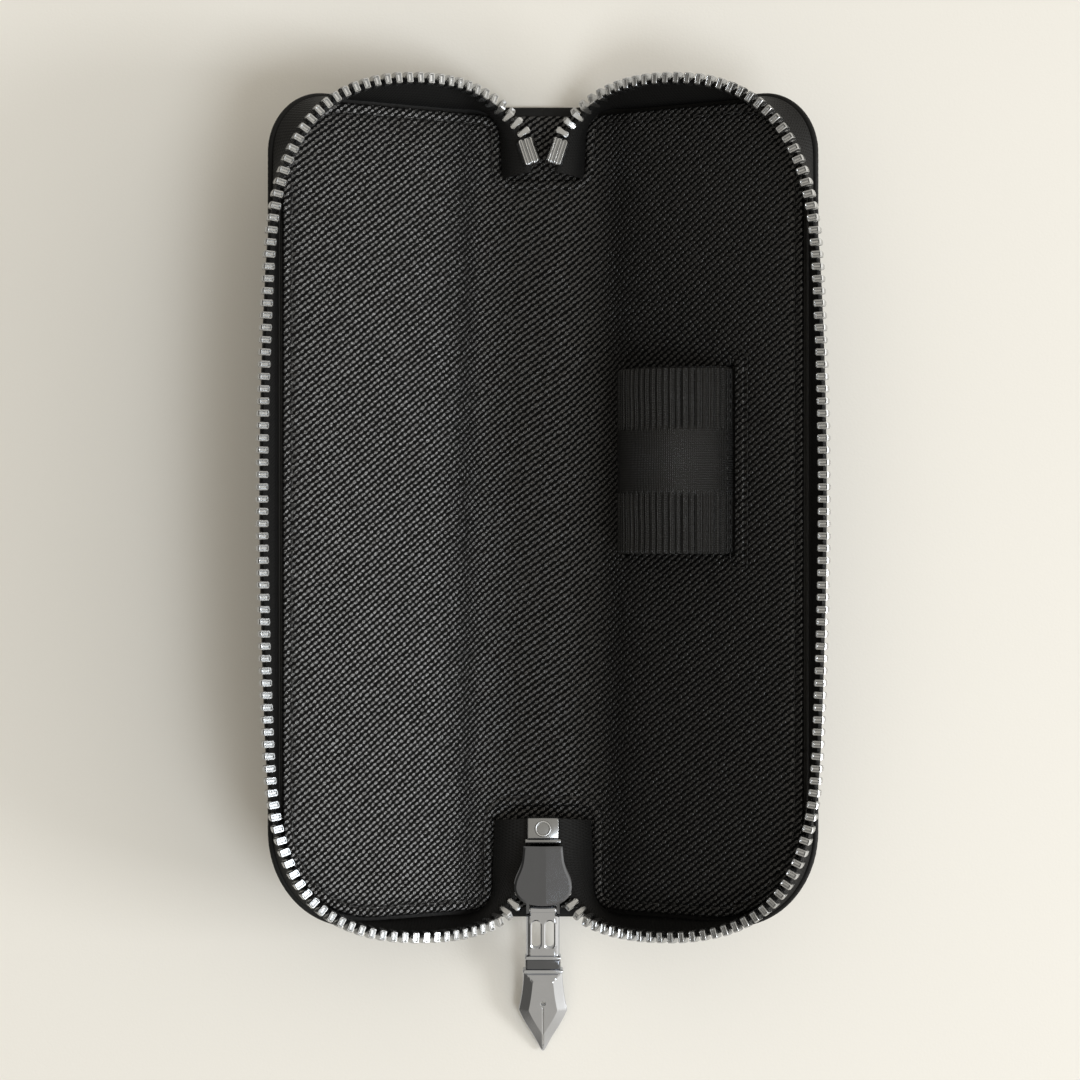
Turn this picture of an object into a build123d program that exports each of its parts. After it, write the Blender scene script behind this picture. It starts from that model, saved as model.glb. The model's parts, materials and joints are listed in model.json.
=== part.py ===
from build123d import *
import math
import os

# Zip-round pen case, lying open like a book on its spine. Millimetres.
# X runs across the case, Y along the spine, Z up; the origin is the middle of the spine's underside.
# The right half is drawn first, and the left half is its mirror image.

# ---- driving dimensions ------------------------------------------------------------------------
CASE_LENGTH = 165.0
OPEN_TILT = 33.0            # how far each half stands up from the table, degrees
SPINE_FLAT = 10.0           # flat strip under the spine
FOLD_RADIUS = 23.2          # outside radius of the two soft folds beside it
PANEL_WIDTH = 43.4          # straight part of each half, from fold to outer edge
CORNERS = (20.0, 12.5)      # corner radius at the slider's end and at the top end
INNER_CORNERS = (26.0, 22.0)    # inner layers are rounder, under the leaning corners of the tape
FOLD_GAP = 0.1              # parting line between spine and halves

COVER = 1.2                 # layers of the wall, from the outside in
BOARD = 0.6
PADDING = 0.8
LINING = 0.9
SEAM_INSET = 1.8            # the inner layers stop short of the cover's edge
TAPE_INSET = 0.8            # the zip tape stands on the strip left free

PIVOT_X = 11.3              # hinge axis of each fold
PIVOT_Z = 2.0
CLOSED_TURN = 61.5          # turn that brings a half's rim to the middle plane

TOP_NOTCH = (18.4, 67.4)    # width, and distance from the middle of the spine
BOTTOM_NOTCH = (22.0, 59.8)

TAPE = 0.6
TAPE_GAP = 0.22             # between the tape's edge and the roots of the teeth
TOOTH_PITCH = 2.36
TOOTH_ALONG = 1.4
TOOTH_ACROSS = 2.4
TOOTH_ROOT = 1.35           # from the rim line down to the tape
TOOTH_TIP = 1.4             # from the rim line up to the meeting face
RIM_DROP = 2.0              # the rim line lies this far under the meeting plane
RIM_LEAN = 14.0             # lean of the teeth towards the middle, degrees
RIM_EASE = (3.0, 20.0)      # over this stretch of x the rim comes down to the spine
CHAIN_Z = 6.2               # height of the chain where it passes the slider

# Plan of the rim line, right half, from the top stop round to the inside of the slider.
TOP_RIM = ((2.1, 70.2), (3.3, 75.4), (6.7, 79.9), (12.0, 83.7), (22.0, 85.6), (34.0, 83.9))
SIDE_RIM = ((44.0, 77.3), (50.2, 65.5), (53.1, 44.0), (54.1, 0.0), (53.1, -43.0), (50.8, -63.4))
BOTTOM_RIM = ((45.0, -75.6), (34.6, -82.4), (22.0, -84.3), (12.0, -83.4), (8.2, -81.6),
              (5.3, -78.6), (3.3, -75.6), (2.1, -72.0), (1.8, -66.9))
TOP_STOP = (5.4, 2.6, 2.8)  # length along the rim, width, height
BOTTOM_STOP = (6.6, 4.4, 3.6)
BOTTOM_STOP_Y = -63.9
BOTTOM_STEP = (7.4, 0.8, 3.0)   # lower step between the bottom stop and the parked slider
STOP_RING = 1.45            # radius of the ring in its lid
TOP_RUN = 24.0              # length of rim that belongs to the spine, from the top stop
BOTTOM_RUN = 33.0           # and from the slider

# Plan of the tape's foot where it leaves the panel's edge and runs in beside the notches.
TOP_FOOT = ((8.2, 68.6), (8.5, 74.0), (9.6, 79.6), (12.4, 81.7), (16.8, 81.8))
BOTTOM_FOOT = ((16.8, -81.8), (13.7, -81.4), (11.0, -78.8), (10.2, -74.0), (9.9, -66.9))

SLIDER_FRONT = -79.2        # mouth end of the slider, y
SLIDER_BACK = -67.3
PLATE = 0.8
CHAIN_ROOM = 2.8            # clear height between the slider's plates
RAIL = 0.12                 # side rails that keep the chain between the plates
CAP_RISE = 1.9              # ridge of the bell-shaped cap above the upper plate
CAP_SLOPE = 0.9             # drop from the ridge to the cap's edge

LOCK_Y = -72.6              # middle of the locking spring under the cap
EAR_X = 3.05                # ears that hold the puller's pin, from the middle

PULLER_PIVOT_Y = -80.2
PULLER_DROP = 13.6          # slope of the resting puller, degrees
PULLER_THICK = 1.5
PULLER_LENGTH = 30.6        # pivot to point, along the puller
PIN_RADIUS = 0.45
PIN_CLEARANCE = 0.05

LOOP_START = 0.8            # elastic pen loop, measured along the right panel from the fold
LOOP_END = 26.0
LOOP_MIDDLE = 10.0          # y of its middle
LOOP_LENGTH = 36.9
LOOP_RISE = 8.6
LOOP_THICK = 1.1

# ---- values worked out from them ---------------------------------------------------------------
HALF_LENGTH = CASE_LENGTH / 2
TILT = math.radians(OPEN_TILT)
PANEL_LAYERS = COVER + BOARD + PADDING + LINING
FOLD_END_X = SPINE_FLAT / 2 + FOLD_RADIUS * math.sin(TILT)
FOLD_END_Z = FOLD_RADIUS - FOLD_RADIUS * math.cos(TILT)
# On the panel plane, x runs up the slope from the fold, y along the spine and z into the case.
PANEL_PLANE = Plane(
    origin=(FOLD_END_X, 0, FOLD_END_Z),
    x_dir=(math.cos(TILT), 0, math.sin(TILT)),
    z_dir=(-math.sin(TILT), 0, math.cos(TILT)),
)
LOWER_PLATE_Z = CHAIN_Z - CHAIN_ROOM / 2
UPPER_PLATE_Z = CHAIN_Z + CHAIN_ROOM / 2
CAP_Z = UPPER_PLATE_Z + PLATE
PULLER_PIVOT_Z = CAP_Z - 0.1
PULLER_PLANE = Plane(
    origin=(0, PULLER_PIVOT_Y, PULLER_PIVOT_Z),
    x_dir=(1, 0, 0),
    z_dir=(0, -math.sin(math.radians(PULLER_DROP)), math.cos(math.radians(PULLER_DROP))),
)


def save(part, name):
    part.label = name
    export_step(part, os.path.join("parts", name + ".step"))


def save_pair(part, name):
    """A piece of the right half and its mirror image on the left."""
    save(part, name + "_right")
    save(mirror(part, about=Plane.YZ), name + "_left")


def smooth(value, low, high):
    """0 below low, 1 above high, and an even curve between."""
    t = min(1.0, max(0.0, (value - low) / (high - low)))
    return t * t * (3 - 2 * t)


# ---- sheets: cover, board, padding, lining -----------------------------------------------------
def panel_layer(depth, thickness, inset, radii):
    """A flat sheet of the right half, with its two outer corners rounded."""
    width = PANEL_WIDTH - inset - FOLD_GAP
    length = CASE_LENGTH - 2 * inset
    sheet = Pos(FOLD_GAP + width / 2, 0, depth) * Rectangle(width, length)
    for end, radius in zip((0, -1), radii):
        corner = sheet.vertices().group_by(Axis.Y)[end].sort_by(Axis.X)[-1]
        sheet = fillet(corner, radius)
    return PANEL_PLANE * extrude(sheet, thickness)


def fold_profile(depth):
    """Line through the spine and both folds, at a depth in from the outside."""
    radius = FOLD_RADIUS - depth
    flat = SPINE_FLAT / 2
    end = (flat + radius * math.sin(TILT), FOLD_RADIUS - radius * math.cos(TILT))
    half = (flat + radius * math.sin(TILT / 2), FOLD_RADIUS - radius * math.cos(TILT / 2))
    start = (flat, depth)
    left = [(-x, z) for x, z in (start, half, end)]
    return [
        ThreePointArc(left[2], left[1], left[0]),
        Line(left[0], start),
        ThreePointArc(start, half, end),
    ]


def spine_layer(depth, thickness, inset):
    """A curved sheet over the spine and both folds."""
    outer = fold_profile(depth)
    inner = fold_profile(depth + thickness)
    ends = [Line(outer[0] @ 0, inner[0] @ 0), Line(outer[2] @ 1, inner[2] @ 1)]
    face = Plane.XZ * make_face(outer + inner + ends)
    return extrude(face, HALF_LENGTH - inset, both=True)


def notch(width, reach, end):
    """Cutter for a notch in one end of the lining, with round corners inside and at its mouth."""
    edge = HALF_LENGTH - SEAM_INSET
    half = width / 2
    round_in = 3.0
    round_out = 4.0
    right = [
        Line((0, reach), (half - round_in, reach)),
        RadiusArc((half - round_in, reach), (half, reach + round_in), -round_in),
        Line((half, reach + round_in), (half, edge - round_out)),
        RadiusArc((half, edge - round_out), (half + round_out, edge), round_out),
        Line((half + round_out, edge), (half + round_out, edge + 2)),
        Line((half + round_out, edge + 2), (0, edge + 2)),
    ]
    left = [mirror(line, about=Plane.YZ) for line in right]
    cutter = extrude(make_face(right + left), 30, both=True)
    return cutter if end > 0 else mirror(cutter, about=Plane.XZ)


def make_sheets():
    save_pair(panel_layer(0, COVER, 0, CORNERS), "cover")
    save(spine_layer(0, COVER, 0), "cover_spine")
    save_pair(panel_layer(COVER, BOARD, SEAM_INSET, INNER_CORNERS), "board")
    save(spine_layer(COVER, BOARD, SEAM_INSET), "spine_stiffener")
    save_pair(panel_layer(COVER + BOARD, PADDING, SEAM_INSET, INNER_CORNERS), "padding")

    spine = spine_layer(COVER + BOARD, LINING, SEAM_INSET)
    spine -= notch(*TOP_NOTCH, 1)
    spine -= notch(*BOTTOM_NOTCH, -1)
    save(spine, "lining_spine")

    lining = panel_layer(COVER + BOARD + PADDING, LINING, SEAM_INSET, INNER_CORNERS)
    save(mirror(lining, about=Plane.YZ), "lining_left")
    for place in (LOOP_START, LOOP_END - LOOP_THICK):
        slit = Box(LOOP_THICK + 0.2, LOOP_LENGTH + 0.4, 4 * LINING)
        centre = Pos(place + LOOP_THICK / 2, LOOP_MIDDLE, PANEL_LAYERS)
        lining -= PANEL_PLANE * centre * slit
    save(lining, "lining_right")


# ---- zip: rim line, tape, teeth, stops ---------------------------------------------------------
def wall_height(x):
    """Height of the cover's inner face above the table."""
    flat = SPINE_FLAT / 2
    radius = FOLD_RADIUS - COVER
    if x <= flat:
        return COVER
    if x <= flat + radius * math.sin(TILT):
        return FOLD_RADIUS - math.sqrt(radius**2 - (x - flat) ** 2)
    return FOLD_END_Z + COVER / math.cos(TILT) + (x - FOLD_END_X) * math.tan(TILT)


def rim_height(x):
    """The rim lies on the plane that turns into the middle plane, and eases down to the slider."""
    turn = math.radians(CLOSED_TURN)
    plane = PIVOT_Z + (PIVOT_X + (x - PIVOT_X) * math.cos(turn)) / math.sin(turn) - RIM_DROP
    return CHAIN_Z + (plane - CHAIN_Z) * smooth(x, *RIM_EASE)


def rim_line():
    plan = TOP_RIM + SIDE_RIM + BOTTOM_RIM
    return Spline(*[(x, y, rim_height(x)) for x, y in plan])


def foot_line():
    """Foot of the tape: the edge of the panel, and a curve over each fold into the notch."""
    inset = HALF_LENGTH - TAPE_INSET
    outer = PANEL_WIDTH - TAPE_INSET
    level = COVER + 0.3
    edge = FilletPolyline(
        (1.0, inset, level), (outer, inset, level), (outer, -inset, level), (1.0, -inset, level),
        radius=(CORNERS[1] - TAPE_INSET, CORNERS[0] - TAPE_INSET),
    )
    top = Spline(*[(x, y, wall_height(x) + 1.1) for x, y in TOP_FOOT])
    bottom = Spline(*[(x, y, wall_height(x) + 1.1) for x, y in BOTTOM_FOOT])
    return top, PANEL_PLANE * edge, bottom


RIM = rim_line()
FOOT_TOP, FOOT_EDGE, FOOT_BOTTOM = foot_line()


def rim_frame(distance):
    """Point on the rim with the directions along it, up a tooth, and across a tooth."""
    point = RIM.position_at(distance, position_mode=PositionMode.LENGTH)
    along = RIM.tangent_at(distance, position_mode=PositionMode.LENGTH)
    lean = math.radians(90 + (RIM_LEAN - 90) * smooth(point.X, *RIM_EASE))
    up = Vector(-math.sin(lean), 0, math.cos(lean))
    up = (up - along * up.dot(along)).normalized()
    return point, along, up, along.cross(up)


def tape_section(distance, foot, bulge):
    """Thin bent strip from the tape's foot to the roots of the teeth."""
    point, along, up, _ = rim_frame(distance)
    top = point - up * (TOOTH_ROOT + TAPE_GAP)
    rise = top - foot
    out = along.cross(rise).normalized()
    middle = foot + rise * 0.45 + out * bulge
    half = out * (TAPE / 2)
    corners = [foot - half, middle - half, top - half, top + half, middle + half, foot + half]
    return Face(Wire.make_polygon(corners, close=True))


def tape_strip(start, end, foot, count, bulge_at):
    """Tape between two places on the rim, its foot following a line of its own."""
    sections = []
    for i in range(count + 1):
        share = i / count
        place = foot.position_at(foot.length * share, position_mode=PositionMode.LENGTH)
        sections.append(tape_section(start + (end - start) * share, place, bulge_at(share)))
    return loft(sections, ruled=True)


def tooth():
    """One tooth, standing on the rim line: jaws at the root and a narrower head."""
    jaws = Pos(0, 0, -TOOTH_ROOT / 2) * Box(TOOTH_ALONG, TOOTH_ACROSS, TOOTH_ROOT)
    head = Pos(0, 0, TOOTH_TIP / 2) * Box(TOOTH_ALONG * 0.8, TOOTH_ACROSS, TOOTH_TIP)
    return jaws + head


def teeth(start, end):
    """Teeth at an even pitch between two places on the rim."""
    pattern = tooth()
    count = int((end - start) / TOOTH_PITCH)
    row = []
    for i in range(count + 1):
        point, along, up, _ = rim_frame(start + i * TOOTH_PITCH)
        row.append(Plane(origin=point, x_dir=along, z_dir=up) * pattern)
    return Compound(children=row)


def top_stop():
    """Metal bar clamped on the tape above the last tooth."""
    point, along, up, _ = rim_frame(TOP_STOP[0] / 2)
    length, width, height = TOP_STOP
    bar = Pos(0, 0, 0.35) * fillet(Box(length, width, height).edges(), 0.4)
    for place in (-0.8, 0, 0.8):
        flute = Box(length + 1, 0.3, 0.4)
        bar -= Pos(0, place, 0.35 + height / 2) * flute
    return Plane(origin=point, x_dir=along, z_dir=up) * bar


def bottom_stop():
    """Box that holds the ends of both chains, with a ring sunk in its lid."""
    middle = Pos(0, BOTTOM_STOP_Y, CHAIN_Z + 0.1)
    box = middle * Box(*BOTTOM_STOP)
    box = fillet(box.edges().filter_by(Axis.Z), 0.4)
    step_y = BOTTOM_STOP_Y - (BOTTOM_STOP[1] + BOTTOM_STEP[1]) / 2
    step = Pos(0, step_y, CHAIN_Z - 0.2) * Box(*BOTTOM_STEP)
    ring = Circle(STOP_RING + 0.15) - Circle(STOP_RING - 0.15)
    groove = middle * Pos(0, 0, BOTTOM_STOP[2] / 2 - 0.15) * extrude(ring, 1)
    return box + step - groove


def make_zip():
    top_end = TOP_RUN
    bottom_end = RIM.length - BOTTOM_RUN
    save_pair(
        tape_strip(top_end + 0.3, bottom_end - 0.3, FOOT_EDGE, 84, lambda share: 0.35),
        "zip_tape",
    )
    save_pair(
        tape_strip(0, top_end, FOOT_TOP, 16, lambda share: 0.35 + 0.9 * (1 - share)),
        "tape_end_top",
    )
    save_pair(
        tape_strip(bottom_end, RIM.length, FOOT_BOTTOM, 20, lambda share: 0.35 + 1.0 * share),
        "tape_end_bottom",
    )
    first = TOP_STOP[0] + TOOTH_PITCH
    in_top_end = int((top_end - first) / TOOTH_PITCH)
    chain_start = first + (in_top_end + 1) * TOOTH_PITCH
    on_half = int((bottom_end - chain_start) / TOOTH_PITCH)
    tail_start = chain_start + (on_half + 1) * TOOTH_PITCH
    save_pair(teeth(first, chain_start - TOOTH_PITCH + 0.01), "chain_end_top")
    save_pair(teeth(chain_start, tail_start - TOOTH_PITCH + 0.01), "teeth")
    save_pair(teeth(tail_start, RIM.length - 1.2), "chain_end_bottom")
    save_pair(top_stop(), "top_stop")
    save(bottom_stop(), "bottom_stop")


# ---- slider ------------------------------------------------------------------------------------
def bell_outline(grow=0.0):
    """Plan of the slider: narrow at the back, flaring to a round mouth."""
    back = SLIDER_BACK + grow
    right = [
        Line((0, back), (3.9 + grow, back)),
        Line((3.9 + grow, back), (4.1 + grow, -69.6)),
        Spline((4.1 + grow, -69.6), (4.75 + grow, -71.9), (5.8 + grow, -74.9),
               tangents=((0.1, -1), (0.1, -1))),
        ThreePointArc((5.8 + grow, -74.9), (4.0 + grow, -77.9), (0, SLIDER_FRONT - grow)),
    ]
    left = [mirror(edge, about=Plane.YZ) for edge in right]
    return make_face(right + left)


def slider_body():
    """Two plates with side rails, joined by the wedge that parts the teeth."""
    plan = bell_outline()
    plate = extrude(plan, PLATE)
    lower = Pos(0, 0, LOWER_PLATE_Z - PLATE) * plate
    upper = Pos(0, 0, UPPER_PLATE_Z) * plate
    rail_plan = plan - bell_outline(-0.6)
    rail_plan -= Pos(0, -85.0) * Rectangle(20, 21)
    rail_plan -= Pos(0, SLIDER_BACK) * Rectangle(7, 4)
    low_rail = Pos(0, 0, LOWER_PLATE_Z) * extrude(rail_plan, RAIL)
    high_rail = Pos(0, 0, UPPER_PLATE_Z - RAIL) * extrude(rail_plan, RAIL)
    wedge_plan = make_face(Polyline((0, -73.6), (0.9, -76.0), (0.5, -78.4), (-0.5, -78.4),
                                    (-0.9, -76.0), (0, -73.6)))
    wedge = Pos(0, 0, LOWER_PLATE_Z) * extrude(wedge_plan, CHAIN_ROOM)
    body = lower + upper + low_rail + high_rail + wedge
    nose = Plane.YZ * SlotOverall(4.6, 1.7)
    ear = Pos(0, PULLER_PIVOT_Y + 1.45, PULLER_PIVOT_Z) * extrude(nose, 0.3, both=True)
    for side in (-1, 1):
        body += Pos(side * EAR_X, 0, 0) * ear
    bore = Pos(0, PULLER_PIVOT_Y, PULLER_PIVOT_Z) * Rot(0, 90, 0) * Cylinder(PIN_RADIUS, 8)
    return body - bore


def slider_cap():
    """Bell-shaped cap: a low roof of two facets with a bevelled rim."""
    ridge = CAP_Z + CAP_RISE
    half = 7.0
    eave = ridge - CAP_SLOPE * half / 5.8
    gable = [(-half, CAP_Z), (-half, eave), (0, ridge), (half, eave), (half, CAP_Z)]
    roof = Polyline(*gable, close=True)
    prism = Pos(0, -73, 0) * extrude(Plane.XZ * make_face(roof), 20, both=True)
    block = Pos(0, 0, CAP_Z) * extrude(bell_outline(), CAP_RISE + 1)
    pocket = Pos(0, LOCK_Y, CAP_Z) * Box(2.6, 8.4, 1.0)
    cap = (prism & block) - pocket
    for side in (-1, 1):
        cap -= Pos(side * EAR_X, PULLER_PIVOT_Y + 2.2, CAP_Z) * Box(0.8, 3.4, 1.8)
    return cap


def lock_spring():
    """Leaf under the cap that presses the locking tooth into the chain."""
    return Pos(0, LOCK_Y, CAP_Z + 0.2) * Box(2.0, 7.6, 0.25)


def puller_pin():
    return Pos(0, PULLER_PIVOT_Y, PULLER_PIVOT_Z) * Rot(0, 90, 0) * Cylinder(PIN_RADIUS, 6.7)


# ---- puller ------------------------------------------------------------------------------------
def puller_shank():
    """Slotted link from the eye to the collar. Drawn flat: y runs from the pivot to the point."""
    top = 1.2
    foot = 9.6
    plan = Pos(0, -(top + foot) / 2) * Rectangle(6.7, foot - top)
    for side in (-1, 1):
        plan -= Pos(side * 1.35, -5.0) * SlotOverall(5.4, 1.8, rotation=90)
    link = Pos(0, 0, -PULLER_THICK / 2) * extrude(plan, PULLER_THICK)
    neck = Pos(0, -0.9, 0) * Box(5.2, 1.8, PULLER_THICK)
    eye = Rot(0, 90, 0) * Cylinder(0.8, 5.2)
    bore = Rot(0, 90, 0) * Cylinder(PIN_RADIUS + PIN_CLEARANCE, 8)
    return PULLER_PLANE * (link + neck + eye - bore)


def puller_collar():
    """Plain band between two raised rings."""
    first = Pos(0, -10.05, 0) * Box(7.3, 0.8, 2.3)
    band = Pos(0, -11.5, 0) * Box(7.1, 2.1, 1.8)
    second = Pos(0, -12.95, 0) * Box(8.2, 0.8, 2.3)
    return PULLER_PLANE * (first + band + second)


def puller_nib():
    """Blade in the shape of a writing nib, with bevelled sides, a vent hole and a slit."""
    shoulder = -21.6
    outline = [
        Line((-3.9, -13.4), (3.9, -13.4)),
        ThreePointArc((3.9, -13.4), (4.25, -17.6), (4.93, shoulder)),
        ThreePointArc((4.93, shoulder), (2.2, -26.0), (0, -PULLER_LENGTH)),
        ThreePointArc((0, -PULLER_LENGTH), (-2.2, -26.0), (-4.93, shoulder)),
        ThreePointArc((-4.93, shoulder), (-4.25, -17.6), (-3.9, -13.4)),
    ]
    blade = extrude(make_face(outline), PULLER_THICK / 2, both=True)
    bevelled = [(-5.2, -0.8), (-5.2, -0.05), (-2.6, 0.8), (2.6, 0.8), (5.2, -0.05), (5.2, -0.8)]
    crown = Polyline(*bevelled, close=True)
    bevel = Pos(0, -22, 0) * extrude(Plane.XZ * make_face(crown), 12, both=True)
    vent = Pos(0, -19.9, 0) * Cylinder(0.45, 4)
    slit = Pos(0, -24.9, 0.7) * Box(0.2, 9.6, 0.5)
    return PULLER_PLANE * ((blade & bevel) - vent - slit)


def make_slider():
    save(slider_body(), "slider_body")
    save(slider_cap(), "slider_cap")
    save(lock_spring(), "lock_spring")
    save(puller_pin(), "puller_pin")
    save(puller_shank(), "puller_shank")
    save(puller_collar(), "puller_collar")
    save(puller_nib(), "puller_nib")


# ---- pen loop ----------------------------------------------------------------------------------
def loop_profile(inset):
    """Side of the arch at a distance in from its outer face, on the panel's slope and depth."""
    foot = COVER + BOARD + PADDING + 0.05
    low = PANEL_LAYERS + 1.5
    high = PANEL_LAYERS + LOOP_RISE - inset
    start = LOOP_START + inset
    end = LOOP_END - inset
    middle = (start + end) / 2
    shoulder = 0.28 * (end - start)
    return [
        Line((start, foot), (start, low)),
        Spline((start, low), (middle - shoulder, high - 1.2), (middle, high),
               (middle + shoulder, high - 1.2), (end, low), tangents=((0.0, 1), (0.0, -1))),
        Line((end, low), (end, foot)),
    ]


def pen_loop():
    """Elastic band that comes up through one slit in the lining and goes down through the other."""
    outer = loop_profile(0)
    inner = loop_profile(LOOP_THICK)
    feet = [Line(outer[0] @ 0, inner[0] @ 0), Line(outer[2] @ 1, inner[2] @ 1)]
    side = make_face(outer + inner + feet)
    band = Pos(0, LOOP_MIDDLE, 0) * extrude(Plane.XZ * side, LOOP_LENGTH / 2, both=True)
    return PANEL_PLANE * band


def loop_binding():
    """Raised leather strip sewn along the outer slit."""
    strip = Box(2.4, LOOP_LENGTH + 4, 0.7)
    strip = fillet(strip.edges().filter_by(Axis.Y), 0.25)
    return PANEL_PLANE * Pos(LOOP_END + 1.7, LOOP_MIDDLE, PANEL_LAYERS + 0.38) * strip


os.makedirs("parts", exist_ok=True)
make_sheets()
make_zip()
make_slider()
save(pen_loop(), "pen_loop")
save(loop_binding(), "loop_binding")
print("rim length", round(RIM.length, 2))
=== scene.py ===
"""Looks of a zip-round pen case lying open on its spine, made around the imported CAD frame.

Lengths here are millimetres in the frame's axes; meshes are scaled to metres as they are made.
"""
import json
import math
import random

import bmesh
import bpy
import numpy as np
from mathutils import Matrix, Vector, geometry

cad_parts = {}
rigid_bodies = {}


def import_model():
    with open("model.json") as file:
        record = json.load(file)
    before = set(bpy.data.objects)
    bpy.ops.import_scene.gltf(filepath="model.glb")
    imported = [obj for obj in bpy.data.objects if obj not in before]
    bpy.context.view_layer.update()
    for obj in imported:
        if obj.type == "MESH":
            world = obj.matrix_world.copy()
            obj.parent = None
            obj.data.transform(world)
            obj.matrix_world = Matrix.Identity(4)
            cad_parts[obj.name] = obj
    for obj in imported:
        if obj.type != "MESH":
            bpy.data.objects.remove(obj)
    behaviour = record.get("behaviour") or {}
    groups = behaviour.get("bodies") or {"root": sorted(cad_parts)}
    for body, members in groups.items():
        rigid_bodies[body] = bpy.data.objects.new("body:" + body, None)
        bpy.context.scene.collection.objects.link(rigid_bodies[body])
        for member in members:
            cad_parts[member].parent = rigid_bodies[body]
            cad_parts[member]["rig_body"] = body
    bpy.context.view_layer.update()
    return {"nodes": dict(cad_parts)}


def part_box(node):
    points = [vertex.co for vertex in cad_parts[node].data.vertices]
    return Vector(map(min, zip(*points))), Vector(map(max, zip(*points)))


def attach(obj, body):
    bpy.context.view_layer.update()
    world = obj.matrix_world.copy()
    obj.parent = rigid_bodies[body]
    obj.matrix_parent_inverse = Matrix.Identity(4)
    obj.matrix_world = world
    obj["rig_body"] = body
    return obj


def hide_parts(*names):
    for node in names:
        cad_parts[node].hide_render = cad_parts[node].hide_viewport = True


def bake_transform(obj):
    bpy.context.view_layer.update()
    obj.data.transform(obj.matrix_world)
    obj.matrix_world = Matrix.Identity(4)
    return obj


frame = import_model()
random.seed(7)

MM = 0.001
NAMES = {1: "right", -1: "left"}        # a side is the sign of its x

# ---- the case's wall, as the CAD model draws it ----
HALF_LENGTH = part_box("cover_right")[1].y / MM
TILT = math.radians(33)
FLAT = 5.0                      # half of the flat strip under the spine
FOLD_RADIUS = 23.2
PANEL_START = FLAT + FOLD_RADIUS * TILT     # measured round the outer face, from the middle
PANEL_WIDTH = 43.4
CORNERS = {1: 12.5, -1: 20.0}   # radius at the top end and at the slider's end
INNER_CORNERS = {1: 14.0, -1: 20.5}
PAD_CORNER = 26.0
COVER = 1.2
UNDERLAY = 0.6
UNDERLAY_REACH = 18.2
LINING = 0.9
PANEL_DEPTH = 3.5               # cover, board, padding and lining together
SPINE_DEPTH = 2.75              # the same where there is no board or padding
LINING_INSET = 1.9
NOTCHES = {1: (9.2, 67.4), -1: (11.0, 59.8)}    # half width, and distance from the middle
NOTCH_INNER = 3.0
NOTCH_MOUTH = 4.0
COVER_SEAM = 3.75               # seam lines inside the edges of the cover and the lining
LINING_SEAM = 1.9
STRIP_SEAM = 0.75

# ---- stitches: length, gap and radius of the thread ----
COVER_STITCH = (1.7, 0.75, 0.21)
LINING_STITCH = (1.5, 0.8, 0.17)
LOOP_STITCH = (1.0, 0.9, 0.16)
STRIP_STITCH = (1.2, 0.7, 0.14)

# ---- zip, right half: plan of the rim line from the top stop round to the inside of the slider ----
RIM_PLAN = (
    (2.1, 70.2), (3.3, 75.4), (6.7, 79.9), (12.0, 83.7), (22.0, 85.6), (34.0, 83.9),
    (44.0, 77.3), (50.2, 65.5), (53.1, 44.0), (54.1, 0.0), (53.1, -43.0), (50.8, -63.4),
    (45.0, -75.6), (34.6, -82.4), (22.0, -84.3), (12.0, -83.4), (8.2, -81.6),
    (5.3, -78.6), (3.3, -75.6), (2.1, -72.0), (1.8, -66.9))
CHAIN_Z = 6.2                   # height of the chain where it passes the slider
RIM_DROP = 2.0                  # the rim line lies this far under the meeting plane
RIM_LEAN = 14.0
RIM_EASE = (3.0, 20.0)          # over this stretch of x the rim comes down to the spine
PIVOT_X = 11.3
PIVOT_Z = 2.0
CLOSED_TURN = math.radians(61.5)
TOP_RUN = 24.0                  # lengths of rim that belong to the spine
BOTTOM_RUN = 33.0
TOP_FOOT = ((8.2, 68.6), (8.5, 74.0), (9.6, 79.6), (12.4, 81.7), (16.8, 81.8))
BOTTOM_FOOT = ((16.8, -81.8), (13.7, -81.4), (11.0, -78.8), (10.2, -74.0), (9.9, -66.9))
FOOT_INSET = 0.8
FOOT_LIFT = 1.1                 # the tape's foot stands on the underlay
FOOT_SINK = 0.85                # and sinks onto the cover past the underlay's end
FOOT_SINKS = (79.4, 81.4)       # between these distances from the middle
TOOTH_PITCH = 2.36
FIRST_TOOTH = 6.75
LAST_GAP = 1.2
TAPE = 0.45
TAPE_STEP = 0.7
TAPE_TAILS = (1.5, 5.2)         # tape past the first tooth and past the last
STOP_PLACE = 2.7                # middle of a top stop along the rim
STOP_HALF = 1.9                 # half of its height
FLUTE_PITCH = 1.22
BOX_Y = -63.9
BOX_SIZE = (6.6, 4.4, 3.6)
STEP_Y = -66.5
STEP_SIZE = (7.4, 0.9, 3.0)
BOX_RING = 1.45

# ---- pen loop on the right half ----
LOOP_START = 0.8
LOOP_END = 26.0
LOOP_MIDDLE = 10.0
LOOP_LENGTH = 36.9
LOOP_RISE = 8.6
LOOP_THICK = 1.05
LOOP_CENTRE_STRIPE = 12.5
RIB_PITCH = 1.42
RIB_HEIGHT = 0.42
STRIP_REACH = (0.55, 2.9)       # the leather strip, outside the loop's outer slit
STRIP_OVERHANG = 2.0

# ---- slider and puller ----
CAP_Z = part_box("slider_cap")[0].z / MM
CAP_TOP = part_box("slider_cap")[1].z / MM
CAP_RIDGE = 0.6                 # half width of the flat along the cap's middle
PIVOT = Vector((0, -80.2, CAP_Z - 0.1))
PULLER_DROP = math.radians(13.6)
NIB_BEVEL = 1.95

# ---- leather print: angle and pitch of its rows of bars and of the cuts across them ----
PRINT_ROWS = (36, 1.02)
PRINT_CUTS = (130, 1.08)

# ---- marks in metal and in board: how fine they are along each axis ----
BRUSHING = (7.0, 0.5, 7.0)
SOFT_BRUSHING = (0.5, 0.3, 0.5)
FIBRES = (1.0, 3.0, 1.0)

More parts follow.
